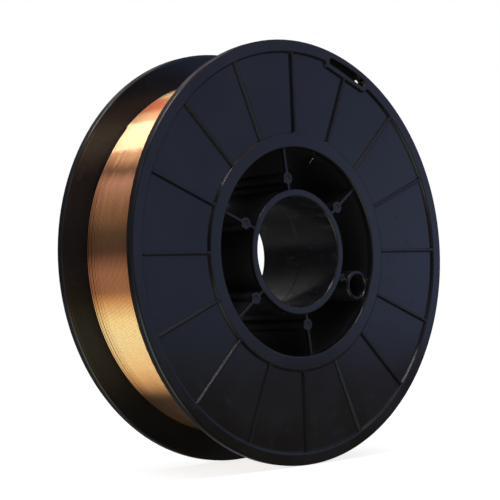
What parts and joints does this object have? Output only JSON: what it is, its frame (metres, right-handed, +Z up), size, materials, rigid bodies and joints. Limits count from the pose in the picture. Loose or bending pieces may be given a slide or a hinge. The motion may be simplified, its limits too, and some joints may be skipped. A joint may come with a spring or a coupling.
{
  "type": "mig welding wire spool",
  "caption": "Plastic spool with ribbed flanges, spoked hub, centre bore and driving hole, wound full with copper coated steel welding wire.",
  "frame": {"origin": "middle of the bore, on the spool's axis and half way between the outer faces of the flanges", "axes": "+Y along the spool's axis from the front flange to the rear one, +Z up as the spool stands on its rims, +X to the right seen from the front"},
  "size_m": [0.2, 0.055, 0.2],
  "materials": {
    "black_plastic": "satin moulded",
    "coppered_wire": "thin bright copper coat on drawn steel"
  },
  "bodies": {
    "root": {"front_half": "black_plastic", "rear_half": "black_plastic", "wire_coil": "coppered_wire"}
  },
  "joints": []
}
